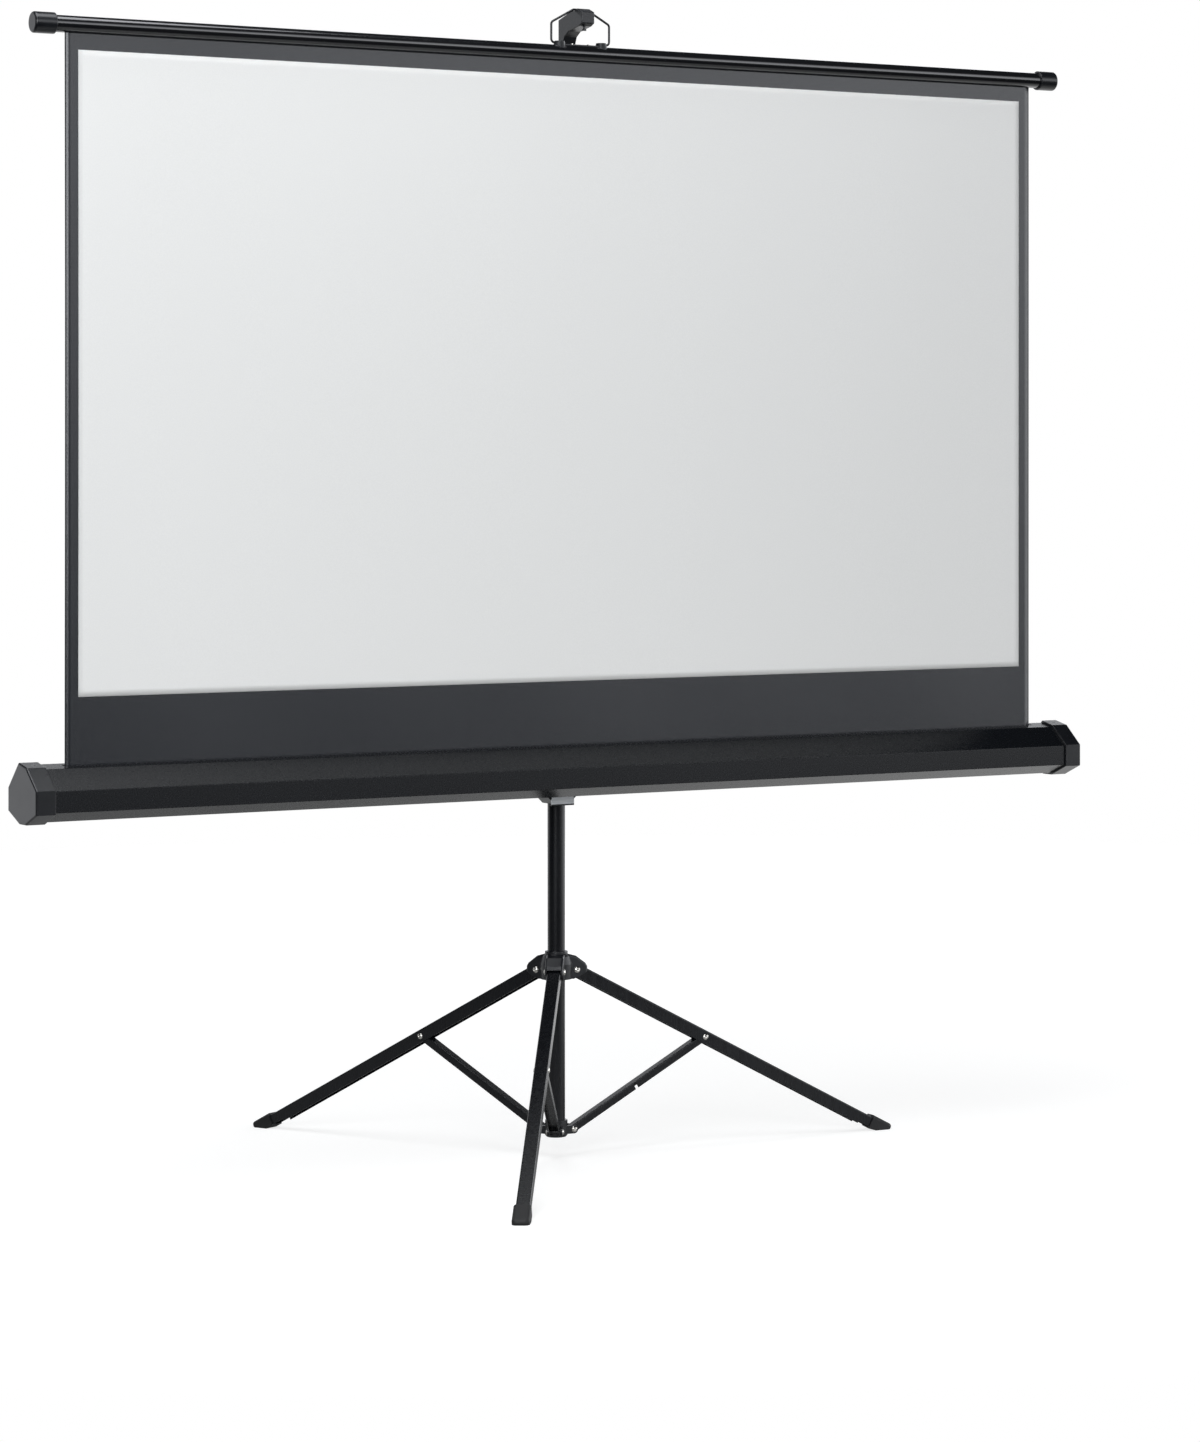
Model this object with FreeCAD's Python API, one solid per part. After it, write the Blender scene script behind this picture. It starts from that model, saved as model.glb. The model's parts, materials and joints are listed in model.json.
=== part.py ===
import FreeCAD, Part
import math
import os

from FreeCAD import Vector

# A floor-standing pull-up projection screen on a folding tripod, in millimetres.
# X runs along the screen to the viewer's right, Y points away from the viewers, Z up.
# Every piece is worked out about the mast's axis, and the whole is then moved so that
# the origin lies under the middle of its box, on the floor.

# Viewing surface: 60 inch diagonal, sixteen to nine
view_width = 1328.0
view_height = 747.0
side_border = 16.5
top_border = 19.0
leader = 76.5
sheet_thick = 0.6
coat_thick = 0.3

# Casing: an eight-sided sheet metal case, its seat above the floor and its facets
casing_overhang = 53.0
casing_bottom = 456.5
casing_wall = 0.8
front_reach = 42.0
back_reach = 38.0
upper_run = 29.0
upper_rise = 23.5
lower_run = 31.0
lower_rise = 12.5
facet_height = 25.0
crown_rise = 4.5
slot_width = 4.0
cap_width = 24.0
cap_wall = 3.0
cap_proud = 2.4
cap_rim = 2.0
cap_screw_radius = 2.6
cap_screw_grip = 4.0
cap_screw_slot = 1.0
cap_screw_slot_depth = 0.7

# Roller inside the casing
roller_radius = 15.0
roller_wall = 1.0
roller_pin_radius = 3.5
roller_pin_grip = 7.0
roller_boss_radius = 8.0
roller_boss_length = 11.0
roller_end_room = 18.0
roller_flange = 3.0
wrap_thick = 1.6
plug_depth = 20.0
spring_length = 420.0
spring_radius = 9.0
spindle_radius = 3.0

# Top bar and its end caps
bar_radius = 10.0
bar_wall = 1.2
bar_overhang = 40.0
bar_slot = 3.0
bar_cap_length = 27.0
bar_cap_radius = 12.5
bar_cap_wall = 3.5
hem_rod_radius = 3.5

# Wire bail, and the bracket on the bar with a round pad for each of its feet
wire_radius = 1.4
bail_width = 82.0
bail_upright = 25.1
bail_height = 42.1
bail_top_width = 20.0
bail_bend = 4.5
ear_middle = 29.5
ear_radius = 8.5
ear_crown_radius = 6.2
ear_grip = 2.0
ear_axis_above_bar = 2.4
ear_above_axis = 2.2
strap_depth = 8.0
strap_thick = 1.0
strap_screw_place = 11.0
strap_screw_radius = 2.0
strap_screw_height = 1.2

# Mast, extension rod and hook
screen_offset = 61.0
mast_radius = 11.0
mast_wall = 1.5
mast_top = 796.0
rod_radius = 7.5
rod_wall = 1.2
rod_foot = 595.0
rod_bush_length = 30.0
guide_radius = 15.0
guide_below = 26.0
guide_above = 18.0
guide_round = 2.0
hook_width = 18.0
hook_thick = 21.0
hook_nose = 20.0
hook_nose_height = 14.0
hook_fall = 8.0
hook_lip = 2.4
hook_notch = 10.0
hook_notch_slope = 1.0
hook_crest = 3.0
hook_chin = 7.0
hook_chin_rise = 1.5
hook_arch = 3.0
hook_throat = 9.0
hook_throat_run = 4.0
hook_root = 18.0
hook_round = 1.4
hook_bevel = 0.8
hook_stem = 40.0
hook_stem_back = 40.0
hook_stem_thick = 12.0
hook_socket_depth = 29.0
hook_socket_wall = 3.5
peg_setback = 5.0
peg_radius = 1.5
peg_length = 8.0
peg_head_radius = 2.6
peg_head_height = 2.0

# Carriage that clamps the casing to the mast
carriage_width = 44.0
carriage_foot_width = 22.0
carriage_taper = 11.0
carriage_bottom = 442.5
carriage_height = 84.0
carriage_back = 16.0
clamp_wall = 4.0
clamp_round = 3.0
plate_width = 32.0
plate_thick = 2.0
plate_lip = 1.8
back_plate_width = 70.0
back_plate_height = 22.0
back_plate_thick = 2.4
pivot_bolt_radius = 4.0
pivot_bolt_head = 3.0

# Thumb knobs on the hub, the carriage and the rod guide
knob_radius = 12.0
knob_length = 12.0
knob_lobes = 6
knob_boss = 3.0
stud_radius = 3.0

# Tripod: hub on the mast, collar at the mast's foot, legs and braces between them
leg_turn = -34.0
hub_pivot_radius = 23.5
hub_pivot_height = 234.0
collar_pivot_radius = 20.5
collar_pivot_height = 34.5
leg_angle = 62.1
leg_end_height = 4.5
leg_width = 16.5
leg_depth = 15.8
leg_wall = 1.2
brace_pivot = 206.0
brace_wall = 1.0
brace_depth = 9.0
shallow_end = 30.0
shallow_cut = 3.0
relief_share = 0.46
relief_width = 4.0
boot_wall = 2.2
boot_top_wall = 3.0
boot_under_wall = 1.0
boot_back = 22.0
boot_toe = 9.7
boot_sole = 2.2
boot_nose_round = 6.0
boot_round = 4.0
rivet_radius = 2.0
rivet_head_radius = 3.8
rivet_head_height = 1.8
bolt_radius = 2.5
bolt_head_radius = 4.2
bolt_head_height = 2.4
hub_core_radius = 19.0
hub_dome_radius = 20.0
hub_below = 11.0
hub_above = 20.5
hub_cheek = 2.8
hub_reach = 15.0
hub_shoulder_radius = 23.0
hub_shoulder_height = 17.5
hub_brow_height = 8.0
hub_brow_run = 2.5
hub_chin_drop = 3.0
hub_chin_run = 1.5
hub_throat = 4.0
hub_step = 2.0
hub_gap_room = 1.5
hub_gap_height = 8.6
hub_gap_mouth = 3.4
hub_round = 3.0
hub_ring_radius = 14.3
hub_ring_height = 3.6
hub_ring_round = 0.8
hub_ring_notches = 8
hub_ring_notch_width = 2.4
collar_core_radius = 14.0
collar_bottom = 26.0
collar_floor = 4.0
collar_height = 21.0
collar_ear = 2.6
collar_eye = 5.2
collar_bevel = 2.0

# Clearances
sliding_gap = 0.1
side_gap = 0.4
face_gap = 0.3

pieces = {}


def box(x0, x1, y0, y1, z0, z1):
    """A block between two corners."""
    return Part.makeBox(x1 - x0, y1 - y0, z1 - z0, Vector(x0, y0, z0))


def rod(radius, start, direction, length):
    """A solid round bar from a start point along a direction."""
    return Part.makeCylinder(radius, length, Vector(*start), Vector(*direction))


def tube(outer, inner, start, direction, length):
    """A round tube from a start point along a direction."""
    return rod(outer, start, direction, length).cut(rod(inner, start, direction, length))


def prism(corners, sweep):
    """A polygon carried straight along a sweep."""
    points = [Vector(*corner) for corner in corners]
    face = Part.Face(Part.makePolygon(points + points[:1]))
    return face.extrude(Vector(*sweep))


def joined(first, *others):
    """Solids fused into one, with split faces healed."""
    return first.fuse(list(others)).removeSplitter()


def along_x(shape):
    """The edges of a shape that run along X."""
    found = []
    for edge in shape.Edges:
        run = edge.Vertexes[-1].Point - edge.Vertexes[0].Point
        if abs(run.x) > 1e-6 and abs(run.y) + abs(run.z) < 1e-6:
            found.append(edge)
    return found


def end_rim(shape, x):
    """The edges of a shape that lie in one plane across X."""
    found = []
    for edge in shape.Edges:
        if all(abs(v.Point.x - x) < 1e-6 for v in edge.Vertexes):
            if abs(edge.CenterOfMass.x - x) < 1e-6:
                found.append(edge)
    return found


def knob(radius, length, lobes):
    """A lobed hand knob about +X, its seat at the origin."""
    body = rod(radius, (0, 0, 0), (1, 0, 0), length)
    scallop = radius * 0.32
    for i in range(lobes):
        turn = 2 * math.pi * i / lobes
        reach = radius + scallop * 0.45
        body = body.cut(rod(scallop, (-1, reach * math.cos(turn), reach * math.sin(turn)),
                            (1, 0, 0), length + 2))
    boss = rod(radius * 0.55, (-knob_boss, 0, 0), (1, 0, 0), knob_boss)
    return joined(body, boss)


def turned(shape, degrees):
    """A copy turned about the mast's axis."""
    copy = shape.copy()
    copy.rotate(Vector(0, 0, 0), Vector(0, 0, 1), degrees)
    return copy


# Heights and places that follow from the driving sizes
casing_height = lower_rise + facet_height + upper_rise + crown_rise
casing_top = casing_bottom + casing_height
screen_y = -screen_offset
casing_back = screen_y + back_reach
view_bottom = casing_top + leader
view_top = view_bottom + view_height
bar_height = view_top + top_border + bar_radius
sheet_half = view_width / 2 + side_border
casing_length = 2 * (sheet_half + casing_overhang)
bar_length = 2 * (sheet_half + bar_overhang)
roller_outer = roller_radius + wrap_thick
roller_y = screen_y + sheet_thick / 2 + face_gap + roller_outer
roller_z = casing_bottom + casing_height / 2
leg_length = (hub_pivot_height - leg_end_height) / math.cos(math.radians(leg_angle))
leg_floor = hub_pivot_height / math.cos(math.radians(leg_angle))
leg_turns = {"front": leg_turn, "right": leg_turn + 120, "left": leg_turn - 120}


def outline(grow, x):
    """The casing's eight corners at one X, each side moved out by grow."""
    front = screen_y - front_reach
    low = casing_bottom + lower_rise
    high = low + facet_height
    flat = [
        (front, low), (front, high),
        (front + upper_run, casing_top - crown_rise), (casing_back - upper_run, casing_top),
        (casing_back, high), (casing_back, low),
        (casing_back - lower_run, casing_bottom), (front + lower_run, casing_bottom),
    ]
    sides = []
    for i in range(len(flat)):
        (ya, za), (yb, zb) = flat[i], flat[(i + 1) % len(flat)]
        span = math.hypot(yb - ya, zb - za)
        normal = (-(zb - za) / span, (yb - ya) / span)
        sides.append((normal, normal[0] * ya + normal[1] * za + grow))
    corners = []
    for i in range(len(sides)):
        (na, ca), (nb, cb) = sides[i - 1], sides[i]
        det = na[0] * nb[1] - na[1] * nb[0]
        corners.append((x, (ca * nb[1] - cb * na[1]) / det, (cb * na[0] - ca * nb[0]) / det))
    return corners


def casing_block(grow, x0, x1):
    """The casing's section, grown by a wall, between two places along X."""
    return prism(outline(grow, x0), (x1 - x0, 0, 0))


# Casing shell, slotted along its top for the sheet
shell_half = casing_length / 2 - cap_wall
shell = casing_block(0, -shell_half, shell_half)
shell = shell.cut(casing_block(-casing_wall, -shell_half - 1, shell_half + 1))
slot_half = sheet_half + slot_width
shell = shell.cut(box(-slot_half, slot_half, screen_y - slot_width / 2, screen_y + slot_width / 2,
                      casing_top - crown_rise - 2 * casing_wall, casing_top + 1))

# End caps: moulded cups over the shell's ends, with a socket for the roller's pin inside
# and a screw down through the top of each
screw_x = casing_length / 2 - cap_width * 0.6
crown_front = screen_y - front_reach + upper_run
crown_back = casing_back - upper_run
crown_tilt = math.degrees(math.atan2(crown_rise, crown_back - crown_front))
crown_middle = Vector(0, (crown_front + crown_back) / 2, casing_top - crown_rise / 2)
cap_screws = []
for side, sign in (("left", -1), ("right", 1)):
    outer_end = sign * casing_length / 2
    mouth = sign * (casing_length / 2 - cap_width)
    seat = sign * shell_half
    cap = casing_block(cap_proud, mouth, outer_end)
    cap = cap.makeFillet(cap_rim, end_rim(cap, outer_end))
    cap = cap.cut(casing_block(0, mouth - sign, seat))
    boss = rod(roller_boss_radius, (seat, roller_y, roller_z), (-sign, 0, 0), roller_boss_length)
    socket_mouth = seat - sign * roller_boss_length
    socket = rod(roller_pin_radius + sliding_gap, (socket_mouth, roller_y, roller_z),
                 (sign, 0, 0), roller_pin_grip + 1)
    cap = joined(cap, boss).cut(socket)
    head_depth = cap_proud * 0.6
    head = rod(cap_screw_radius, (0, 0, cap_proud - head_depth), (0, 0, 1), head_depth)
    shank = rod(cap_screw_radius * 0.5, (0, 0, -casing_wall - cap_screw_grip), (0, 0, 1),
                casing_wall + cap_screw_grip + cap_proud - head_depth)
    screw = joined(head, shank)
    driver = box(-cap_screw_slot / 2, cap_screw_slot / 2, -cap_screw_radius, cap_screw_radius,
                 cap_proud - cap_screw_slot_depth, cap_proud + 1)
    for shape in (screw, driver):
        shape.rotate(Vector(0, 0, 0), Vector(1, 0, 0), crown_tilt)
        shape.translate(crown_middle + Vector(sign * screw_x, 0, 0))
    cap = cap.cut(screw)
    shell = shell.cut(screw)
    cap_screws.append(screw.cut(driver))
    pieces["casing_end_cap_" + side] = cap
pieces["casing_shell"] = shell
pieces["end_cap_screws"] = Part.makeCompound(cap_screws)

# Roller: tube, end plugs on pins, the wound sheet, and the return spring on its spindle
roller_half = casing_length / 2 - cap_wall - roller_end_room - roller_flange
pieces["roller_tube"] = tube(roller_radius, roller_radius - roller_wall,
                             (-roller_half, roller_y, roller_z), (1, 0, 0), 2 * roller_half)
pieces["fabric_wraps"] = tube(roller_outer, roller_radius, (-sheet_half, roller_y, roller_z),
                              (1, 0, 0), 2 * sheet_half)
pin_end = shell_half - roller_boss_length + roller_pin_grip
for side, sign in (("left", -1), ("right", 1)):
    start = sign * roller_half
    plug = joined(
        rod(roller_radius - roller_wall, (start, roller_y, roller_z), (-sign, 0, 0), plug_depth),
        rod(roller_radius, (start, roller_y, roller_z), (sign, 0, 0), roller_flange),
        rod(roller_pin_radius, (start, roller_y, roller_z), (sign, 0, 0), pin_end - roller_half))
    pieces["roller_plug_" + side] = plug
spring_start = -roller_half + plug_depth
pieces["roller_spindle"] = rod(spindle_radius, (spring_start, roller_y, roller_z), (1, 0, 0),
                               spring_length + plug_depth)
pieces["roller_spring"] = tube(spring_radius, spindle_radius, (spring_start, roller_y, roller_z),
                               (1, 0, 0), spring_length)

# Top bar: a slotted round tube with moulded caps
bar_half = bar_length / 2 - bar_cap_wall
bar_centre = (-bar_half, screen_y, bar_height)
bar_bore = bar_radius - bar_wall
bar = tube(bar_radius, bar_bore, bar_centre, (1, 0, 0), 2 * bar_half)
bar = bar.cut(box(-bar_half - 1, bar_half + 1, screen_y - bar_slot / 2, screen_y + bar_slot / 2,
                  bar_height - bar_radius - 1, bar_height - bar_bore / 2))
for side, sign in (("left", -1), ("right", 1)):
    outer_end = sign * bar_length / 2
    cap = rod(bar_cap_radius, (outer_end, screen_y, bar_height), (-sign, 0, 0), bar_cap_length)
    cap = cap.makeFillet(bar_cap_wall * 0.8, end_rim(cap, outer_end))
    cap = cap.makeFillet(cap_rim * 0.4, end_rim(cap, outer_end - sign * bar_cap_length))
    cap = cap.cut(rod(bar_radius, (sign * bar_half, screen_y, bar_height), (-sign, 0, 0),
                      bar_cap_length))
    pieces["top_bar_cap_" + side] = cap

# Sheet: black cloth with a white coat on the front, hung from a hem rod inside the bar
hem_z = bar_height - (bar_bore - hem_rod_radius)
hem_end = hem_z - hem_rod_radius
pieces["hem_rod"] = rod(hem_rod_radius, (-sheet_half, screen_y, hem_z), (1, 0, 0), 2 * sheet_half)
pieces["screen_sheet"] = box(-sheet_half, sheet_half, screen_y - sheet_thick / 2,
                             screen_y + sheet_thick / 2, roller_z, hem_end)
pieces["viewing_surface"] = box(-view_width / 2, view_width / 2,
                                screen_y - sheet_thick / 2 - coat_thick, screen_y - sheet_thick / 2,
                                view_bottom, view_top)

# Bracket on the bar: a thin strap under two screws, with a round pad at each end that the
# wire bail turns in
bar_crown = bar_height + bar_radius
bail_axis = bar_crown + ear_axis_above_bar
strap_top = bar_crown + strap_thick
pad_base = bar_height + bar_radius / 2
pad_height = bail_axis + ear_above_axis - pad_base
bracket = box(-ear_middle, ear_middle, screen_y - strap_depth / 2, screen_y + strap_depth / 2,
              pad_base, strap_top)
for sign in (-1, 1):
    bracket = bracket.fuse(Part.makeCone(ear_radius, ear_crown_radius, pad_height,
                                         Vector(sign * ear_middle, screen_y, pad_base)))
bracket = bracket.removeSplitter()
bracket = bracket.cut(rod(bar_radius, (-bar_half, screen_y, bar_height), (1, 0, 0), 2 * bar_half))
screws = []
screw_foot = bar_height + bar_bore * 0.7
for sign in (-1, 1):
    hole_start = sign * (ear_middle - ear_grip - face_gap)
    bracket = bracket.cut(rod(wire_radius + sliding_gap, (hole_start, screen_y, bail_axis),
                              (sign, 0, 0), 2 * ear_radius))
    screw_at = sign * strap_screw_place
    shank = rod(strap_screw_radius * 0.6, (screw_at, screen_y, screw_foot), (0, 0, 1),
                strap_top - screw_foot)
    bracket = bracket.cut(shank)
    bar = bar.cut(shank)
    screws.append(joined(shank, Part.makeCone(strap_screw_radius, strap_screw_radius * 0.6,
                                              strap_screw_height, Vector(screw_at, screen_y, strap_top))))
pieces["top_bar_tube"] = bar
pieces["bail_ears"] = bracket
pieces["bail_ear_screws"] = Part.makeCompound(screws)


def bent_wire(points, bend, radius):
    """A round wire along straight runs, its corners rounded by arcs of one bend radius."""
    edges = []
    last = points[0]
    for i in range(1, len(points) - 1):
        before = (points[i - 1] - points[i]).normalize()
        after = (points[i + 1] - points[i]).normalize()
        half = math.acos(max(-1.0, min(1.0, before.dot(after)))) / 2
        back = bend / math.tan(half)
        enter = points[i] + before * back
        leave = points[i] + after * back
        middle = (before + after).normalize()
        apex = points[i] + middle * (bend / math.sin(half) - bend)
        edges.append(Part.LineSegment(last, enter).toShape())
        edges.append(Part.Arc(enter, apex, leave).toShape())
        last = leave
    edges.append(Part.LineSegment(last, points[-1]).toShape())
    path = Part.Wire(edges)
    start = (points[1] - points[0]).normalize()
    section = Part.Wire(Part.makeCircle(radius, points[0], start))
    return path.makePipeShell([section], True, False)


bail_top = bail_axis + bail_height
route = []
for sign in (-1, 1):
    half = [(sign * (ear_middle - ear_grip), bail_axis), (sign * bail_width / 2, bail_axis),
            (sign * bail_width / 2, bail_axis + bail_upright), (sign * bail_top_width / 2, bail_top)]
    route += half if sign < 0 else half[::-1]
pieces["bail_wire"] = bent_wire([Vector(x, screen_y, z) for x, z in route], bail_bend, wire_radius)

# Mast tube with its foot plug, and the moulded guide at its top that grips the rod
mast_foot = collar_bottom + collar_floor + face_gap
mast_bore = mast_radius - mast_wall
pieces["mast_tube"] = tube(mast_radius, mast_bore, (0, 0, mast_foot), (0, 0, 1), mast_top - mast_foot)
pieces["mast_foot_plug"] = rod(mast_bore, (0, 0, mast_foot), (0, 0, 1), collar_height)
guide_base = mast_top - guide_below
guide_top = mast_top + guide_above
guide = rod(guide_radius, (0, 0, guide_base), (0, 0, 1), guide_below + guide_above)
guide = guide.makeFillet(guide_round, [e for e in guide.Edges
                                       if abs(e.CenterOfMass.z - guide_top) < 1e-6])
guide = guide.cut(rod(mast_radius, (0, 0, guide_base), (0, 0, 1), guide_below))
guide = guide.cut(rod(rod_radius + sliding_gap, (0, 0, guide_base), (0, 0, 1),
                      guide_below + guide_above))
guide_stud_z = mast_top + guide_above / 2
guide = guide.cut(rod(stud_radius + sliding_gap, (0, 0, guide_stud_z), (0, 1, 0), guide_radius + 1))
pieces["rod_guide"] = guide

# Extension rod with a bush at its foot
hook_seat = bail_top - wire_radius - face_gap
socket_top = hook_seat - hook_stem
socket_bottom = socket_top - hook_socket_depth
rod_top = socket_top - hook_socket_wall
pieces["extension_rod"] = tube(rod_radius, rod_radius - rod_wall, (0, 0, rod_foot), (0, 0, 1),
                               rod_top - rod_foot)
bush = tube(mast_bore - sliding_gap, rod_radius, (0, 0, rod_foot), (0, 0, 1), rod_bush_length)
pieces["rod_bush"] = bush

# Hook: a moulded socket on the rod's top, a stem in front of it, and an arched arm that
# reaches forward over the bar and carries the bail's wire in a notch
socket_radius = rod_radius + hook_socket_wall
stem_back = screen_y + hook_stem_back
stem_front = stem_back - hook_stem_thick
nose_front = screen_y - hook_nose
notch_half = hook_notch / 2
arm_under = hook_seat - hook_thick
hook_side = [
    (0, socket_bottom + hook_socket_depth * 0.5), (0, socket_top - 1), (stem_back, socket_top - 1),
    (stem_back, hook_seat - hook_fall),
    (screen_y + notch_half + hook_notch_slope, hook_seat + hook_lip * 0.4),
    (screen_y + notch_half - hook_notch_slope, hook_seat),
    (screen_y - notch_half + hook_notch_slope, hook_seat),
    (screen_y - notch_half, hook_seat + hook_lip),
    (screen_y - notch_half - hook_crest, hook_seat + hook_lip),
    (nose_front, hook_seat - hook_lip), (nose_front, hook_seat - hook_lip - hook_nose_height),
    (nose_front + hook_chin, arm_under + hook_chin_rise),
    (screen_y + hook_stem_back * 0.35, arm_under - hook_arch),
    (stem_front - hook_throat_run, arm_under - hook_throat),
    (stem_front, arm_under - hook_root), (stem_front, socket_top - hook_socket_depth * 0.35),
    (-socket_radius + 1, socket_bottom + hook_socket_depth * 0.3),
]
hook = prism([(-hook_width / 2, y, z) for y, z in hook_side], (hook_width, 0, 0))
sharp = [e for e in along_x(hook) if e.Vertexes[0].Point.y < stem_back + 1]
inner_notch = [e for e in sharp if abs(e.Vertexes[0].Point.y - screen_y) < notch_half + 0.5]
low_corner = [e for e in sharp if e.Vertexes[0].Point.z < socket_top + 1]
hook = hook.makeFillet(hook_round, [e for e in sharp if e not in inner_notch + low_corner])
rims = [e for e in hook.Edges if abs(abs(e.CenterOfMass.x) - hook_width / 2) < 1e-6
        and e.CenterOfMass.z > socket_top + 2]
hook = hook.makeChamfer(hook_bevel, rims)
hook = joined(hook, rod(socket_radius, (0, 0, socket_bottom), (0, 0, 1), hook_socket_depth))
hook = hook.cut(rod(rod_radius, (0, 0, socket_bottom - 1), (0, 0, 1), rod_top - socket_bottom + 1))
peg_y = screen_y - notch_half - peg_setback
peg_foot = arm_under + hook_chin_rise - peg_length / 2
peg = joined(rod(peg_radius, (0, peg_y, peg_foot), (0, 0, 1), peg_length),
             rod(peg_head_radius, (0, peg_y, peg_foot - peg_head_height * 0.75), (0, 0, 1),
                 peg_head_height))
pieces["hook_arm"] = hook.cut(peg)
pieces["hook_peg"] = peg

# Carriage: a moulded clamp round the mast, a bright plate standing on the clamp's front lip,
# and the bolt that carries the casing's back plate
carriage_top = carriage_bottom + carriage_height
plate_back = -(mast_radius + clamp_wall)
plate_front = plate_back - plate_thick
half_wide = carriage_width / 2
half_foot = carriage_foot_width / 2
clamp = prism([(-half_wide, plate_back, carriage_top), (half_wide, plate_back, carriage_top),
               (half_wide, plate_back, carriage_bottom + carriage_taper),
               (half_foot, plate_back, carriage_bottom), (-half_foot, plate_back, carriage_bottom),
               (-half_wide, plate_back, carriage_bottom + carriage_taper)],
              (0, carriage_back - plate_back, 0))
upright = [e for e in clamp.Edges
           if abs(e.Vertexes[0].Point.z - e.Vertexes[-1].Point.z) > carriage_height / 2]
clamp = clamp.makeFillet(clamp_round, [e for e in upright if e.CenterOfMass.y > 0])
clamp = clamp.cut(rod(mast_radius + sliding_gap, (0, 0, carriage_bottom - 1), (0, 0, 1),
                      carriage_height + 2))
clamp_stud_z = carriage_bottom + carriage_height / 2
clamp = clamp.cut(rod(stud_radius + sliding_gap, (0, 0, clamp_stud_z), (0, 1, 0), carriage_back + 1))
lip = box(-plate_width / 2, plate_width / 2, plate_front, plate_back + plate_thick,
          carriage_bottom - plate_lip, carriage_bottom)
clamp = joined(clamp, lip)
pivot_z = roller_z
plate = box(-plate_width / 2, plate_width / 2, plate_front, plate_back, carriage_bottom, carriage_top)
back_plate_back = casing_back + back_plate_thick
low_edge = pivot_z - back_plate_height / 2
back_plate = box(-back_plate_width / 2, back_plate_width / 2, casing_back, back_plate_back,
                 low_edge, low_edge + back_plate_height)
washer = tube(pivot_bolt_radius * 2.5, pivot_bolt_radius, (0, back_plate_back, pivot_z), (0, 1, 0),
              plate_front - back_plate_back)
bolt = joined(rod(pivot_bolt_radius, (0, casing_back - casing_wall, pivot_z), (0, 1, 0),
                  plate_back - casing_back + casing_wall),
              rod(pivot_bolt_radius * 1.7, (0, casing_back - casing_wall - pivot_bolt_head, pivot_z),
                  (0, 1, 0), pivot_bolt_head))
pieces["casing_shell"] = shell.cut(bolt)
pieces["carriage_clamp"] = clamp
pieces["carriage_plate"] = plate.cut(bolt)
pieces["casing_back_plate"] = back_plate.cut(bolt)
pieces["pivot_washer"] = washer
pieces["pivot_bolt"] = bolt


def thumb_knob(seat, stud_tip):
    """A lobed knob about +X: its head stands on the seat radius, its stud reaches in to the tip."""
    head = knob(knob_radius, knob_length, knob_lobes)
    head.translate(Vector(seat + face_gap + knob_boss, 0, 0))
    return joined(head, rod(stud_radius, (stud_tip, 0, 0), (1, 0, 0), seat + 2 * knob_boss - stud_tip))


hub_top = hub_pivot_height + hub_above
hub_bottom = hub_pivot_height - hub_below
hub_stud_z = hub_pivot_height
hub_knob_turn = leg_turn + 180 - 90
for name, seat, tip, turn, height in (
        ("hub_knob", hub_dome_radius, mast_radius + face_gap, hub_knob_turn, hub_stud_z),
        ("height_knob", carriage_back, mast_radius + face_gap, 90, clamp_stud_z),
        ("rod_knob", guide_radius, rod_radius + face_gap, 90, guide_stud_z)):
    grip = turned(thumb_knob(seat, tip), turn)
    grip.translate(Vector(0, 0, height))
    pieces[name] = grip

# Hub: a moulded dome on the mast with three hooded forks for the legs, and its notched top ring
fork_inner = leg_width / 2 + side_gap
fork_outer = fork_inner + hub_cheek
hood_end = hub_pivot_radius + hub_reach
dome = [(0, 0, hub_bottom), (hub_core_radius, 0, hub_bottom),
        (hub_dome_radius, 0, hub_pivot_height + hub_brow_height),
        (hub_core_radius - hub_step, 0, hub_pivot_height + hub_shoulder_height),
        (hub_ring_radius, 0, hub_top), (0, 0, hub_top)]
dome_face = Part.Face(Part.makePolygon([Vector(*c) for c in dome + dome[:1]]))
hub = dome_face.revolve(Vector(0, 0, 0), Vector(0, 0, 1), 360)
hood = [(0, hub_bottom), (hub_core_radius, hub_bottom),
        (hub_pivot_radius + hub_throat, hub_pivot_height - hub_below * 0.75),
        (hood_end - hub_chin_run, hub_pivot_height - hub_chin_drop), (hood_end, hub_pivot_height),
        (hood_end, hub_pivot_height + hub_brow_height / 2),
        (hood_end - hub_brow_run, hub_pivot_height + hub_brow_height),
        (hub_shoulder_radius, hub_pivot_height + hub_shoulder_height),
        (hub_ring_radius - hub_step, hub_top), (0, hub_top)]
for turn in leg_turns.values():
    arm = prism([(r, -fork_outer, z) for r, z in hood], (0, 2 * fork_outer, 0))
    brow = [e for e in arm.Edges if abs(abs(e.CenterOfMass.y) - fork_outer) < 1e-6
            and e.CenterOfMass.x > hub_ring_radius - hub_step and e.CenterOfMass.z > hub_pivot_height]
    arm = arm.makeFillet(hub_round, brow)
    hub = hub.fuse(turned(arm, turn - 90))
hub = hub.removeSplitter()
gap_back = hub_pivot_radius - leg_depth / 2 - hub_gap_room
for turn in leg_turns.values():
    room = [(gap_back, hub_bottom - 1), (hood_end + 1, hub_bottom - 1),
            (hood_end + 1, hub_pivot_height + hub_gap_mouth),
            (hub_pivot_radius, hub_pivot_height + hub_gap_height),
            (gap_back, hub_pivot_height + hub_gap_height)]
    gap = joined(
        prism([(r, -fork_inner, z) for r, z in room], (0, 2 * fork_inner, 0)),
        rod(bolt_radius, (hub_pivot_radius, -fork_outer - 1, hub_pivot_height), (0, 1, 0),
            2 * fork_outer + 2))
    hub = hub.cut(turned(gap, turn - 90))
hub = hub.cut(rod(mast_radius + sliding_gap, (0, 0, hub_bottom - 1), (0, 0, 1),
                  hub_below + hub_above + 2))
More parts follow.
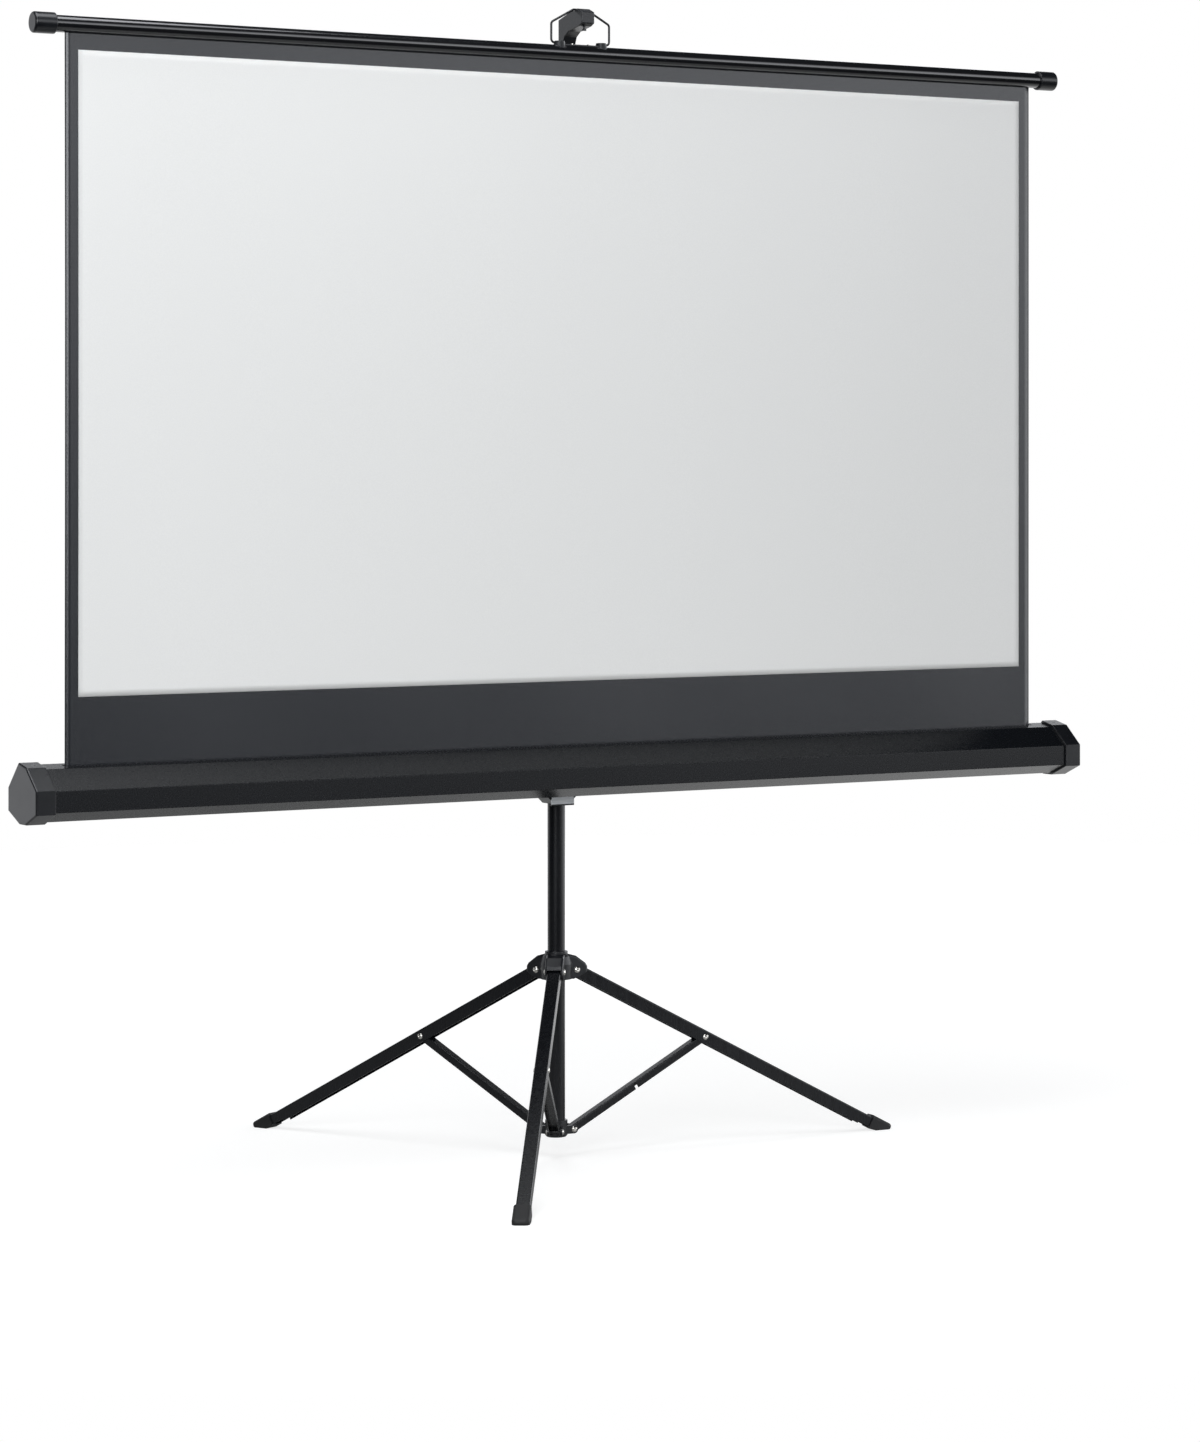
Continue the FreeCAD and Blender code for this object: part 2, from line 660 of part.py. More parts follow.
stud_hole = rod(stud_radius + sliding_gap, (0, 0, hub_stud_z), (1, 0, 0), hub_dome_radius + 8)
pieces["hub_body"] = hub.cut(turned(stud_hole, hub_knob_turn))
ring = tube(hub_ring_radius, mast_radius + sliding_gap, (0, 0, hub_top), (0, 0, 1), hub_ring_height)
ring_top = [e for e in ring.Edges if abs(e.CenterOfMass.z - hub_top - hub_ring_height) < 1e-6]
ring = ring.makeFillet(hub_ring_round, ring_top)
for i in range(hub_ring_notches):
    notch = box(mast_radius + hub_step, hub_ring_radius + 1, -hub_ring_notch_width / 2,
                hub_ring_notch_width / 2, hub_top + hub_ring_height * 0.5,
                hub_top + hub_ring_height + 1)
    ring = ring.cut(turned(notch, leg_turn + 360.0 * i / hub_ring_notches))
pieces["hub_top_ring"] = ring


def domed_head(radius, height, base, direction):
    """A low tapered rivet head, standing on a base point."""
    return Part.makeCone(radius, radius * 0.62, height, Vector(*base), Vector(*direction))


bolts = []
for turn in leg_turns.values():
    bolt = rod(bolt_radius, (hub_pivot_radius, -fork_outer, hub_pivot_height), (0, 1, 0), 2 * fork_outer)
    for sign in (-1, 1):
        bolt = bolt.fuse(domed_head(bolt_head_radius, bolt_head_height,
                                    (hub_pivot_radius, sign * fork_outer, hub_pivot_height),
                                    (0, sign, 0)))
    bolts.append(turned(bolt.removeSplitter(), turn - 90))
pieces["hub_leg_bolts"] = Part.makeCompound(bolts)

# Collar at the mast's foot: a moulded cup with three pairs of ears, each ear with its rivet
brace_half = leg_width / 2 - leg_wall - side_gap
ear_in = brace_half + side_gap
ear_out = ear_in + collar_ear
collar = rod(collar_core_radius, (0, 0, collar_bottom), (0, 0, 1), collar_height)
collar = collar.makeChamfer(collar_bevel, [e for e in collar.Edges
                                           if abs(e.CenterOfMass.z - collar_bottom) < 1e-6])
collar_rivets = []
for turn in leg_turns.values():
    for sign in (-1, 1):
        y0, y1 = sorted((sign * ear_in, sign * ear_out))
        ear = joined(
            box(collar_core_radius / 2, collar_pivot_radius, y0, y1, collar_pivot_height - collar_eye,
                collar_pivot_height + collar_eye),
            rod(collar_eye, (collar_pivot_radius, y0, collar_pivot_height), (0, 1, 0), y1 - y0))
        collar = collar.fuse(turned(ear, turn - 90))
        stub = joined(
            rod(rivet_radius, (collar_pivot_radius, y0, collar_pivot_height), (0, 1, 0), y1 - y0),
            domed_head(rivet_head_radius, rivet_head_height,
                       (collar_pivot_radius, sign * ear_out, collar_pivot_height), (0, sign, 0)))
        collar_rivets.append(turned(stub, turn - 90))
collar = collar.removeSplitter()
collar = collar.cut(rod(mast_radius + sliding_gap, (0, 0, collar_bottom + collar_floor), (0, 0, 1),
                        collar_height))
for stub in collar_rivets:
    collar = collar.cut(stub)
pieces["bottom_collar"] = collar
pieces["collar_rivets"] = Part.makeCompound(collar_rivets)


def channel(length, width, depth, wall, web_top):
    """A U channel along +X with its web on top at web_top and its open side down."""
    outer = box(0, length, -width / 2, width / 2, web_top - depth, web_top)
    crowns = [e for e in along_x(outer) if e.Vertexes[0].Point.z > web_top - 1e-6]
    outer = outer.makeFillet(wall * 1.5, crowns)
    inner = box(-1, length + 1, -width / 2 + wall, width / 2 - wall, web_top - depth - 1, web_top - wall)
    return outer.cut(inner)


def rounded_start(shape, radius, width):
    """Cuts a channel's near end to a round nose about the pivot at the origin."""
    reach = 4 * radius
    block = box(-reach, 0, -width, width, -reach, reach)
    return shape.cut(block.cut(rod(radius, (0, -width, 0), (0, 1, 0), 2 * width)))


def on_leg(shape, turn):
    """Carries a shape from the leg's own axes to its place on the hub."""
    copy = shape.copy()
    copy.rotate(Vector(0, 0, 0), Vector(0, 1, 0), 90 - leg_angle)
    copy.translate(Vector(hub_pivot_radius, 0, hub_pivot_height))
    return turned(copy, turn - 90)


lean = math.radians(leg_angle)
joint_r = hub_pivot_radius + brace_pivot * math.sin(lean)
joint_z = hub_pivot_height - brace_pivot * math.cos(lean)
brace_run = joint_r - collar_pivot_radius
brace_rise = joint_z - collar_pivot_height
brace_length = math.hypot(brace_run, brace_rise)
brace_tilt = math.degrees(math.atan2(brace_rise, brace_run))


def on_brace(shape, turn):
    """Carries a shape from the brace's own axes, collar pivot first, to its place."""
    copy = shape.copy()
    copy.rotate(Vector(0, 0, 0), Vector(0, 1, 0), -brace_tilt)
    copy.translate(Vector(collar_pivot_radius, 0, collar_pivot_height))
    return turned(copy, turn - 90)


# Leg: a pressed U channel, open below, pinned in the hub, its walls cut lower near the foot
half_depth = leg_depth / 2
leg_start = -half_depth
leg = channel(leg_length - leg_start, leg_width, leg_depth, leg_wall, half_depth)
leg.translate(Vector(leg_start, 0, 0))
leg = rounded_start(leg, half_depth, leg_width)
shallow_under = -half_depth + shallow_cut
leg = leg.cut(box(leg_length - shallow_end, leg_length + 1, -leg_width, leg_width, -half_depth - 1,
                  shallow_under))
leg = leg.cut(rod(bolt_radius + sliding_gap, (0, -leg_width, 0), (0, 1, 0), 2 * leg_width))

# Rivet through the leg that the brace turns on
leg_rivet = rod(rivet_radius, (brace_pivot, -leg_width / 2, 0), (0, 1, 0), leg_width)
for sign in (-1, 1):
    leg_rivet = leg_rivet.fuse(domed_head(rivet_head_radius, rivet_head_height,
                                          (brace_pivot, sign * leg_width / 2, 0), (0, sign, 0)))
leg_rivet = leg_rivet.removeSplitter()
leg = leg.cut(leg_rivet)

# Rubber boot over the leg's end: a cap with a blunt nose, cut flat below by its sole
boot_half = leg_width / 2 + boot_wall
boot_end = leg_floor + boot_toe
boot_crown = half_depth + boot_top_wall
boot = box(leg_floor - boot_back, boot_end, -boot_half, boot_half, shallow_under - boot_under_wall,
           boot_crown)
nose = [e for e in boot.Edges if abs(e.CenterOfMass.x - boot_end) < 1e-6
        and abs(e.CenterOfMass.y) > boot_half / 2]
boot = boot.makeFillet(boot_nose_round, nose)
brim = [e for e in boot.Edges if abs(e.CenterOfMass.z - boot_crown) < 1e-6
        and e.CenterOfMass.x > leg_floor - boot_back + 1e-6]
boot = boot.makeFillet(boot_round, brim)
leg_block = box(leg_floor - boot_back - 1, leg_length, -leg_width / 2, leg_width / 2, shallow_under,
                half_depth)
leg_crowns = [e for e in along_x(leg_block) if e.Vertexes[0].Point.z > half_depth - 1e-6]
leg_block = leg_block.makeFillet(leg_wall * 1.5, leg_crowns)

# Brace: a narrower channel, open below, with round ends and one relief notch in a wall
brace_web = brace_depth / 2
brace = channel(brace_length + 2 * brace_web, 2 * brace_half, brace_depth, brace_wall, brace_web)
brace.translate(Vector(-brace_web, 0, 0))
brace = rounded_start(brace, brace_web, leg_width)
far_end = box(0, 4 * brace_web, -leg_width, leg_width, -4 * brace_web, 4 * brace_web)
far_end = far_end.cut(rod(brace_web, (0, -leg_width, 0), (0, 1, 0), 2 * leg_width))
far_end.translate(Vector(brace_length, 0, 0))
brace = brace.cut(far_end)
relief = brace_length * relief_share
brace = brace.cut(box(relief, relief + relief_width, -leg_width, 0, -brace_depth, brace_web - brace_wall))
brace_pin = rod(rivet_radius, (0, -brace_half, 0), (0, 1, 0), 2 * brace_half)
brace = brace.cut(brace_pin)
brace = brace.cut(rod(rivet_radius + sliding_gap, (brace_length, -leg_width, 0), (0, 1, 0),
                      2 * leg_width))

wide = 2 * leg_length
floor = box(-wide, wide, -wide, wide, -wide, 0)
sole = box(-wide, wide, -wide, wide, -wide, boot_sole)
for side, turn in leg_turns.items():
    pieces["leg_" + side] = on_leg(leg, turn).cut(sole)
    pieces["leg_rivet_" + side] = on_leg(leg_rivet, turn)
    pieces["foot_" + side] = on_leg(boot, turn).cut(floor).cut(on_leg(leg_block, turn).cut(sole))
    pieces["brace_" + side] = on_brace(brace, turn)
    pieces["brace_pin_" + side] = on_brace(brace_pin, turn)

# The origin goes under the middle of the whole box
reach = Part.makeCompound(list(pieces.values())).optimalBoundingBox(False, False)
shift = Vector(-(reach.XMin + reach.XMax) / 2, -(reach.YMin + reach.YMax) / 2, 0)
print("mast axis at y =", round(shift.y, 4), "box", reach)
os.makedirs("parts", exist_ok=True)
for name, shape in pieces.items():
    placed = shape.copy()
    placed.translate(shift)
    placed.exportStep("parts/" + name + ".step")
    if not placed.isValid() or not placed.Solids:
        print("check", name, placed.isValid(), len(placed.Solids))
print(len(pieces), "pieces")
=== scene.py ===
import json
import math

import bpy
import numpy as np
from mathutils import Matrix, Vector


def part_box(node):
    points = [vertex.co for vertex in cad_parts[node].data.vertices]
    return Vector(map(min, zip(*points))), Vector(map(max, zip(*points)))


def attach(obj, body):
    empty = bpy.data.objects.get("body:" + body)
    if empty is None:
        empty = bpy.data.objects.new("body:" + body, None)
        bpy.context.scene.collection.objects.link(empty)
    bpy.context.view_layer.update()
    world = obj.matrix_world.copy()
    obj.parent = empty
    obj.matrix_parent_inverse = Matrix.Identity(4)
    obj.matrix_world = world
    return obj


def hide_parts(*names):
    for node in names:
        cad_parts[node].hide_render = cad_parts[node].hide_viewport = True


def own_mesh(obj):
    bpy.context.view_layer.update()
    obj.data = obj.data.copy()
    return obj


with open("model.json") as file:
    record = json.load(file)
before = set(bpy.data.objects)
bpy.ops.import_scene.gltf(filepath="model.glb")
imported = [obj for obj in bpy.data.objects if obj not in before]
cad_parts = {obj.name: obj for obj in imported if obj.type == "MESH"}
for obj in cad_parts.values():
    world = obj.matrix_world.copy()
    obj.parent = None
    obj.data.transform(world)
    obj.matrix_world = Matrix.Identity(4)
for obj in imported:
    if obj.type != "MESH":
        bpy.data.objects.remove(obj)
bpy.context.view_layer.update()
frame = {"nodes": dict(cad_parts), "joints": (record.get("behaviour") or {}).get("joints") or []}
nodes = frame["nodes"]

# Bottom collar: a cup moulded in black nylon that takes the mast's foot, with three pairs
# of ears for the braces. The mould's sides are spark-eroded, which leaves a fine grain.
NYLON_BLACK = "#0d0f12"
NYLON_WORN = "#16181c"
NYLON_ROUGH = (0.27, 0.44)
GRAIN_MM = 2.5
GRAIN_DEPTH = 0.0004
SCUFF_MM = 40
MOULD_EDGE = 0.0008
BEVEL_SAMPLES = 6


def linear(code):
    """An sRGB hex colour as linear red, green, blue and full alpha."""
    parts = [int(code[i:i + 2], 16) / 255 for i in (1, 3, 5)]
    return [c / 12.92 if c <= 0.04045 else ((c + 0.055) / 1.055) ** 2.4 for c in parts] + [1.0]


def blank(name):
    """An empty material with its own node tree."""
    material = bpy.data.materials.new(name)
    material.use_nodes = True
    material.node_tree.nodes.clear()
    return material


def add(material, kind, settings=None, inputs=None):
    """Adds one node: settings are its properties, inputs its sockets with a value or a link."""
    made = material.node_tree.nodes.new("ShaderNode" + kind)
    for key, value in (settings or {}).items():
        setattr(made, key, value)
    for key, value in (inputs or {}).items():
        if isinstance(value, bpy.types.NodeSocket):
            material.node_tree.links.new(value, made.inputs[key])
        else:
            made.inputs[key].default_value = value
    return made


def per_metre(size_mm):
    """A texture's scale for a feature of that size."""
    return 1000.0 / size_mm


def speckle(material, place, size_mm, detail):
    """A noise texture's value, with features of a size."""
    made = add(material, "TexNoise", {}, {"Vector": place, "Scale": per_metre(size_mm), "Detail": detail})
    return made.outputs["Fac"]


def blend(material, amount, first, second):
    """A colour between two hex colours."""
    made = add(material, "MixRGB", {}, {"Fac": amount, "Color1": linear(first), "Color2": linear(second)})
    return made.outputs["Color"]


def between(material, amount, limits):
    """A value carried from 0..1 to between two limits."""
    made = add(material, "MapRange", {}, {"Value": amount, "To Min": limits[0], "To Max": limits[1]})
    return made.outputs["Result"]


def cover(material, settings):
    """Ends a material in one surface shader."""
    skin = add(material, "BsdfPrincipled", {}, settings)
    add(material, "OutputMaterial", {}, {"Surface": skin.outputs["BSDF"]})


def dress(names, material):
    """Gives CAD nodes one material in place of their plain one."""
    for name in names:
        nodes[name].data.materials.clear()
        nodes[name].data.materials.append(material)


# Nylon gives a soft, broken highlight, with slightly paler scuffs and a thin light along its edges.
# Its grain of about a third of a millimetre is too fine to show, and is drawn eight times coarser.
nylon = blank("moulded_black_nylon")
place = add(nylon, "TexCoord").outputs["Object"]
grain = speckle(nylon, place, GRAIN_MM, 3.0)
scuff = speckle(nylon, place, SCUFF_MM, 4.0)
edge = add(nylon, "Bevel", {"samples": BEVEL_SAMPLES}, {"Radius": MOULD_EDGE})
bump = add(nylon, "Bump", {}, {"Height": grain, "Strength": 0.25, "Distance": GRAIN_DEPTH,
                               "Normal": edge.outputs["Normal"]})
cover(nylon, {"Base Color": blend(nylon, scuff, NYLON_BLACK, NYLON_WORN), "IOR": 1.53,
              "Specular IOR Level": 0.5, "Roughness": between(nylon, grain, NYLON_ROUGH),
              "Normal": bump.outputs["Normal"]})
dress(["bottom_collar", "mast_foot_plug", "rod_bush", "roller_plug_left", "roller_plug_right"], nylon)

# Rivets: nickel-plated steel, each set with a round punch that leaves a dimple in the head.
# The plating is bright, with a slight warm cast.
NICKEL = "#e6e4de"
NICKEL_DULL = "#c4c1ba"
NICKEL_ROUGH = (0.16, 0.34)
HAZE_MM = 3
RIVET_STEPS = 40
RIVET_ROWS = 15
RIVET_CURVE = 2.5
DIMPLE_DEPTH = 0.55
DIMPLE_WIDTH = 0.38
RIVET_SHANK = 0.0020
RIVET_HEAD = 0.0040
RIVET_DOME = 0.0018
LEG_SPAN = 0.0165  # between the heads of a leg's rivet
EAR_SPAN = 0.0026  # through one ear of the collar
EAR_MIDDLE = 0.00835  # from the middle of a pair of ears to the middle of one

# Nickel gives small bright points that mirror the room, hazy in patches.
nickel = blank("nickel_plated_steel")
place = add(nickel, "TexCoord").outputs["Object"]
haze = speckle(nickel, place, HAZE_MM, 3.0)
cover(nickel, {"Base Color": blend(nickel, haze, NICKEL, NICKEL_DULL), "Metallic": 1.0,
               "Roughness": between(nickel, haze, NICKEL_ROUGH)})


def rivet_points(centre, axis, length, shank, head, height, two_heads):
    """A turned rivet as a grid: its outline of radius and height is carried round the axis.
    The head is a dome, height * (1 - (r / head)^2.5), with a dimple of about two fifths of its
    width pressed in at the middle; the other end is flat, or has the same head."""
    r = np.linspace(0.0, 1.0, RIVET_ROWS)
    dimple = DIMPLE_DEPTH * height * np.clip(1 - (r / DIMPLE_WIDTH) ** 2, 0, None)
    dome = height * (1 - r ** RIVET_CURVE) - dimple
    top = np.stack([r * head, length / 2 + np.clip(dome, 0, None)], 1)
    if two_heads:
        foot = np.stack([top[::-1, 0], -top[::-1, 1]], 1)
    else:
        foot = np.array([[shank, -length / 2], [0.0, -length / 2]])
    outline = np.concatenate([top, [[shank, length / 2], [shank, -length / 2]], foot])
    axis = np.asarray(axis, float) / np.linalg.norm(axis)
    across = np.cross(axis, [0.0, 0.0, 1.0])
    across = across / np.linalg.norm(across)
    up = np.cross(across, axis)
    turn = np.linspace(0, 2 * np.pi, RIVET_STEPS, endpoint=False)[:, None, None]
    spoke = np.cos(turn) * across + np.sin(turn) * up
    return np.asarray(centre) + outline[None, :, :1] * spoke + outline[None, :, 1:] * axis


def turned_mesh(name, grids, material):
    """One mesh from grids that close round their first parameter; the first and last points
    of the second lie on the axis and are merged into one pole each."""
    verts, faces = [], []
    start = 0
    for grid in grids:
        steps, rows = grid.shape[:2]
        ring = np.arange(steps)
        ids = start + ring[:, None] * (rows - 2) + np.arange(rows - 2)
        after = np.roll(ids, -1, axis=0)
        quads = np.stack([ids[:, :-1], ids[:, 1:], after[:, 1:], after[:, :-1]], -1).reshape(-1, 4)
        poles = start + steps * (rows - 2)
        near = np.stack([np.full(steps, poles), ids[:, 0], after[:, 0]], -1)
        far = np.stack([ids[:, -1], np.full(steps, poles + 1), after[:, -1]], -1)
        verts += grid[:, 1:-1].reshape(-1, 3).tolist() + [grid[0, 0].tolist(), grid[0, -1].tolist()]
        faces += quads.tolist() + near.tolist() + far.tolist()
        start = len(verts)
    mesh = bpy.data.meshes.new(name)
    mesh.from_pydata(verts, [], faces)
    mesh.materials.append(material)
    mesh.polygons.foreach_set("use_smooth", np.ones(len(mesh.polygons), bool))
    mesh.update()
    made = bpy.data.objects.new(name, mesh)
    bpy.context.scene.collection.objects.link(made)
    return made


def set_rivets(name, grids, body, node):
    """Meshes a group of rivets, lets it ride a body and stand for a CAD node."""
    made = turned_mesh(name, grids, nickel)
    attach(made, body)
    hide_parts(node)


SIDES = ("front", "left", "right")
hinge = {joint["name"]: joint for joint in frame["joints"]}
ears = []
for side in SIDES:
    across = np.array(hinge["leg_" + side + "_fold"]["axis"])
    low, high = (np.array(corner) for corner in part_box("brace_pin_" + side))
    for way in (-1, 1):
        ears.append(rivet_points((low + high) / 2 + way * EAR_MIDDLE * across, way * across, EAR_SPAN,
                                 RIVET_SHANK, RIVET_HEAD, RIVET_DOME, False))
    place = hinge["brace_" + side + "_fold"]["pos_m"]
    set_rivets("leg_rivet_head_" + side,
               [rivet_points(place, across, LEG_SPAN, RIVET_SHANK, RIVET_HEAD, RIVET_DOME, True)],
               "leg_" + side, "leg_rivet_" + side)
set_rivets("collar_rivet_heads", ears, "tripod_base", "collar_rivets")
dress(["pivot_bolt", "pivot_washer", "bail_ear_screws", "roller_spindle", "roller_spring", "roller_tube",
       "hem_rod"], nickel)

# Mast and extension rod: drawn steel tube in black stoved enamel, one sliding in the other.
# The enamel is satin, with a faint orange peel and long rub marks where the tubes slide.
ENAMEL_BLACK = "#0a0b0e"
ENAMEL_RUBBED = "#101216"
ENAMEL_ROUGH = (0.20, 0.34)
PEEL_MM = 2.0
PEEL_DEPTH = 0.0003
RUB_MM = 6
RUB_STRETCH = 0.06

# Enamel gives a long satin highlight down each tube, broken a little by the rub marks.
enamel = blank("black_stoved_enamel")
place = add(enamel, "TexCoord").outputs["Object"]
peel = speckle(enamel, place, PEEL_MM, 2.0)
long_way = add(enamel, "Mapping", {}, {"Vector": place, "Scale": (1.0, 1.0, RUB_STRETCH)})
rub = speckle(enamel, long_way.outputs["Vector"], RUB_MM, 4.0)
bump = add(enamel, "Bump", {}, {"Height": peel, "Strength": 0.08, "Distance": PEEL_DEPTH})
cover(enamel, {"Base Color": blend(enamel, rub, ENAMEL_BLACK, ENAMEL_RUBBED), "IOR": 1.5,
               "Specular IOR Level": 0.45, "Roughness": between(enamel, rub, ENAMEL_ROUGH),
               "Normal": bump.outputs["Normal"]})
dress(["mast_tube", "extension_rod", "bail_wire"], enamel)
dress(["rod_guide", "rod_knob"], nylon)

# Hub: a nylon spider on the mast, with a hooded fork for each leg and a thumb knob to lock it.
# A dimpled bolt, plated like the rivets, is closed over each fork.
BOLT_SHANK = 0.0025
BOLT_HEAD = 0.0044
BOLT_DOME = 0.0024
FORK_SPAN = 0.0229  # between the heads of a fork's bolt

forks = [hinge["leg_" + side + "_fold"] for side in SIDES]
bolts = [rivet_points(fork["pos_m"], fork["axis"], FORK_SPAN, BOLT_SHANK, BOLT_HEAD, BOLT_DOME, True)
         for fork in forks]
set_rivets("hub_bolt_heads", bolts, "hub", "hub_leg_bolts")
dress(["hub_body", "hub_top_ring", "hub_knob"], nylon)

# Legs and braces: channels folded from steel strip, open below, in the same black enamel.
# Each brace turns on the rivet through its leg, and on a pin at the collar.
dress(["leg_" + side for side in SIDES] + ["brace_" + side for side in SIDES], enamel)
dress(["brace_pin_" + side for side in SIDES], enamel)

# Boots: black rubber, dip-moulded and pushed over the ends of the legs, where they hold by
# their own grip. They stand flat on the floor.
RUBBER = "#111112"
RUBBER_DUST = "#202020"
DUST_MM = 8
DUST_DEPTH = 0.0005
DUST_TOP = 0.012
DUST_SHARE = (0.8, 0.15)


def combine(material, operation, first, second):
    """Two values made into one, such as their product or the larger of them."""
    made = add(material, "Math", {"operation": operation}, {0: first, 1: second})
    return made.outputs["Value"]


# Rubber gives a matt black with no clear highlight, greyer with dust toward the sole.
rubber = blank("black_rubber")
place = add(rubber, "TexCoord").outputs["Object"]
dust = speckle(rubber, place, DUST_MM, 5.0)
height = add(rubber, "SeparateXYZ", {}, {"Vector": place})
near_floor = add(rubber, "MapRange", {}, {"Value": height.outputs["Z"], "From Min": 0.0, "From Max": DUST_TOP,
                                         "To Min": DUST_SHARE[0], "To Max": DUST_SHARE[1]})
amount = combine(rubber, "MULTIPLY", dust, near_floor.outputs["Result"])
bump = add(rubber, "Bump", {}, {"Height": dust, "Strength": 0.15, "Distance": DUST_DEPTH})
cover(rubber, {"Base Color": blend(rubber, amount, RUBBER, RUBBER_DUST), "Roughness": 0.62, "IOR": 1.52,
               "Normal": bump.outputs["Normal"]})
dress(["foot_" + side for side in SIDES], rubber)

# Carriage: a nylon clamp on the mast, locked by a thumb knob and faced with a steel plate.
# The plate and the casing's back plate are pressed, zinc-plated and bolted to each other.
ZINC = "#dcdedf"
ZINC_DULL = "#b4b7b9"
ZINC_ROUGH = (0.40, 0.58)
BRUSH_MM = 1.2
BRUSH_STRETCH = 0.05

# Zinc gives a pale, cloudy grey shine, drawn out in faint lines along the plate. The lines are
# a tenth of a millimetre apart, too fine to show, and are drawn about ten times coarser.
zinc = blank("zinc_plated_steel")
place = add(zinc, "TexCoord").outputs["Object"]
brush = add(zinc, "Mapping", {}, {"Vector": place, "Scale": (BRUSH_STRETCH, 1.0, 1.0)})
line = speckle(zinc, brush.outputs["Vector"], BRUSH_MM, 3.0)
cover(zinc, {"Base Color": blend(zinc, line, ZINC, ZINC_DULL), "Metallic": 1.0,
             "Roughness": between(zinc, line, ZINC_ROUGH)})
dress(["carriage_plate", "casing_back_plate"], zinc)
dress(["carriage_clamp", "height_knob"], nylon)

# Casing: an eight-sided case folded from steel sheet, with a slot along its top for the screen.
# It is powder-coated charcoal after folding, so the coat runs round each fold.
CHARCOAL = "#0b0e12"
CHARCOAL_DEEP = "#090b0e"
POWDER_ROUGH = (0.25, 0.29)
POWDER_MM = 2.2
POWDER_DEPTH = 0.0003
CLOUD_MM = 120
FOLD_ROUND = 0.0015

# Powder coat gives a satin face that takes a tone from where it points, and a light line at each fold.
powder = blank("charcoal_powder_coat")
place = add(powder, "TexCoord").outputs["Object"]
peel = speckle(powder, place, POWDER_MM, 2.0)
cloud = speckle(powder, place, CLOUD_MM, 3.0)
fold = add(powder, "Bevel", {"samples": BEVEL_SAMPLES}, {"Radius": FOLD_ROUND})
bump = add(powder, "Bump", {}, {"Height": peel, "Strength": 0.008, "Distance": POWDER_DEPTH,
                                "Normal": fold.outputs["Normal"]})
cover(powder, {"Base Color": blend(powder, cloud, CHARCOAL, CHARCOAL_DEEP), "IOR": 1.5,
               "Specular IOR Level": 0.45, "Roughness": between(powder, peel, POWDER_ROUGH),
               "Normal": bump.outputs["Normal"]})
dress(["casing_shell"], powder)

# End caps: cups moulded in black ABS, pushed over the casing's ends, each held by one black screw.
# The mould was polished, so they are smoother than the nylon, with faint cloudy flow marks.
CAP_BLACK = "#0c0e11"
CAP_FLOW = "#131519"
CAP_ROUGH = (0.24, 0.34)
CAP_EDGE = 0.0010
FLOW_MM = 25

# ABS gives a clean, soft-edged highlight and a bright thread along its rounded edges.
moulded = blank("satin_black_abs")
place = add(moulded, "TexCoord").outputs["Object"]
flow = speckle(moulded, place, FLOW_MM, 3.0)
edge = add(moulded, "Bevel", {"samples": BEVEL_SAMPLES}, {"Radius": CAP_EDGE})
cover(moulded, {"Base Color": blend(moulded, flow, CAP_BLACK, CAP_FLOW), "IOR": 1.53,
                "Roughness": between(moulded, flow, CAP_ROUGH), "Normal": edge.outputs["Normal"]})
dress(["casing_end_cap_left", "casing_end_cap_right", "end_cap_screws"], moulded)

# Top bar: a round steel tube in gloss black enamel, slotted below for the screen's hem, with
# moulded caps on its ends. A moulded bracket on it holds the wire bail that hangs on the rod's hook.
GLOSS_BLACK = "#0c0d0f"
GLOSS_HAZE = "#111215"
GLOSS_ROUGH = (0.16, 0.24)
GLOSS_COAT_ROUGH = 0.07
GLOSS_HAZE_MM = 60

# Gloss enamel gives sharp, narrow bright lines along the whole bar.
gloss = blank("gloss_black_enamel")
place = add(gloss, "TexCoord").outputs["Object"]
haze = speckle(gloss, place, GLOSS_HAZE_MM, 3.0)
cover(gloss, {"Base Color": blend(gloss, haze, GLOSS_BLACK, GLOSS_HAZE), "IOR": 1.5,
              "Roughness": between(gloss, haze, GLOSS_ROUGH), "Coat Weight": 1.0,
              "Coat Roughness": GLOSS_COAT_ROUGH})
dress(["top_bar_tube"], gloss)
dress(["top_bar_cap_left", "top_bar_cap_right"], moulded)
dress(["bail_ears", "hook_arm", "hook_peg"], nylon)

# Screen: cloth coated charcoal on the back and round the edge, hung from a hem rod in the bar
# and wound on the roller below. It is stretched, with faint upright waves between its ends.
CLOTH = "#181b20"
CLOTH_THREAD = "#1f2328"
THREAD_MM = 1.5
FLECK_MM = 1.6
WEAVE_DEPTH = 0.0004
CLOTH_ROUGH = 0.27
CLOTH_THICK = 0.0005
WAVE_HEIGHT = 0.0011
EDGE_CURL = 0.0008
CLOTH_GRID = (181, 121)

# Coated cloth gives a charcoal that pales where it mirrors the room, with a fine broken weave.
cloth = blank("charcoal_coated_cloth")
place = add(cloth, "TexCoord").outputs["Object"]
# Threads of half a millimetre are too fine to show, so the weave is drawn three times coarser.
# A wave texture of scale 1 repeats every pi / 10.
bands = {"Vector": place, "Scale": per_metre(THREAD_MM) * math.pi / 10, "Distortion": 0.4}
warp = add(cloth, "TexWave", {"bands_direction": "X"}, bands)
weft = add(cloth, "TexWave", {"bands_direction": "Z"}, bands)
weave = combine(cloth, "MULTIPLY", warp.outputs["Fac"], weft.outputs["Fac"])
amount = combine(cloth, "MULTIPLY", weave, speckle(cloth, place, FLECK_MM, 3.0))
bump = add(cloth, "Bump", {}, {"Height": amount, "Strength": 0.2, "Distance": WEAVE_DEPTH})
cover(cloth, {"Base Color": blend(cloth, amount, CLOTH, CLOTH_THREAD), "Roughness": CLOTH_ROUGH, "IOR": 1.5,
              "Specular IOR Level": 0.7, "Normal": bump.outputs["Normal"]})


